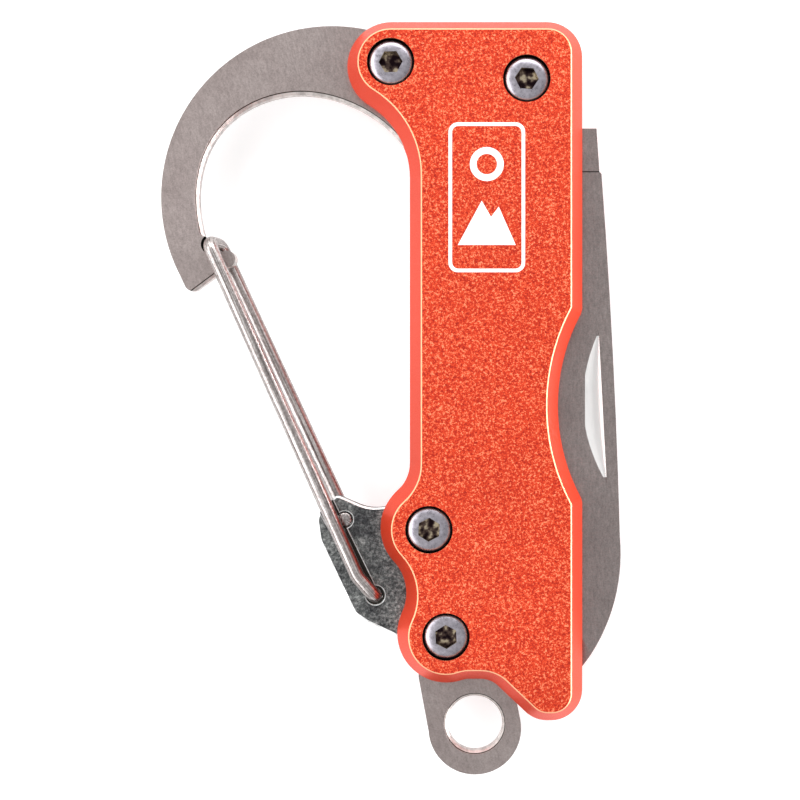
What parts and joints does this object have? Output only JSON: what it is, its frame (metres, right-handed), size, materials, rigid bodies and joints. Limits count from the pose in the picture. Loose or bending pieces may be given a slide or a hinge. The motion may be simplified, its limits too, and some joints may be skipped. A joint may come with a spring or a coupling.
{
  "type": "carabiner keyring knife",
  "caption": "Pocket carabiner keyring: flat steel hook with a sprung wire gate, a key eye and a folding blade between two orange scales.",
  "frame": {"origin": "centre of the key eye, halfway through the plates", "axes": "+Z out of the front scale's face, +Y from the key eye towards the hook, +X towards the side where the blade swings out"},
  "size_m": [0.0551, 0.0899, 0.0102],
  "materials": {
    "anodised": "orange anodised, bead blasted",
    "stamped_steel": "stamped, brushed flat faces",
    "tumbled_steel": "tumbled, grainy dark grey",
    "polished_steel": "drawn and polished wire",
    "blade_steel": "satin ground",
    "screw_steel": "polished with a faint violet tint",
    "bronze": "satin bronze",
    "pin_steel": "ground"
  },
  "bodies": {
    "handle": {"front_scale": "anodised", "rear_scale": "anodised", "hook_plate": "stamped_steel", "gate_lug": "tumbled_steel", "eye_plate": "stamped_steel", "backspring": "stamped_steel", "pivot_washer_front": "bronze", "pivot_washer_rear": "bronze", "hook_screw": "screw_steel", "hook_barrel_nut": "screw_steel", "pivot_screw": "screw_steel", "pivot_barrel_nut": "screw_steel", "lug_screw": "screw_steel", "lug_barrel_nut": "screw_steel", "eye_screw": "screw_steel", "eye_barrel_nut": "screw_steel", "hook_pin": "pin_steel", "spring_pin_upper": "pin_steel", "spring_pin_lower": "pin_steel", "lug_pin": "pin_steel", "eye_pin": "pin_steel", "stop_pin": "pin_steel"},
    "gate": {"wire_gate": "polished_steel"},
    "blade": {"blade": "blade_steel"}
  },
  "joints": [
    {"name": "blade_pivot", "type": "hinge", "parent": "handle", "child": "blade", "pos_m": [0.0061, 0.0766, 0], "axis": [0, 0, 1], "range_deg": [0, 180], "deforming": ["backspring"]},
    {"name": "gate_flex", "type": "hinge", "parent": "handle", "child": "gate", "pos_m": [-0.0156, 0.02445, 0], "axis": [0, 0, -1], "range_deg": [0, 28], "stiffness_Nm_per_rad": 0.05, "springref_deg": -11.46, "deforming": ["wire_gate"]}
  ]
}
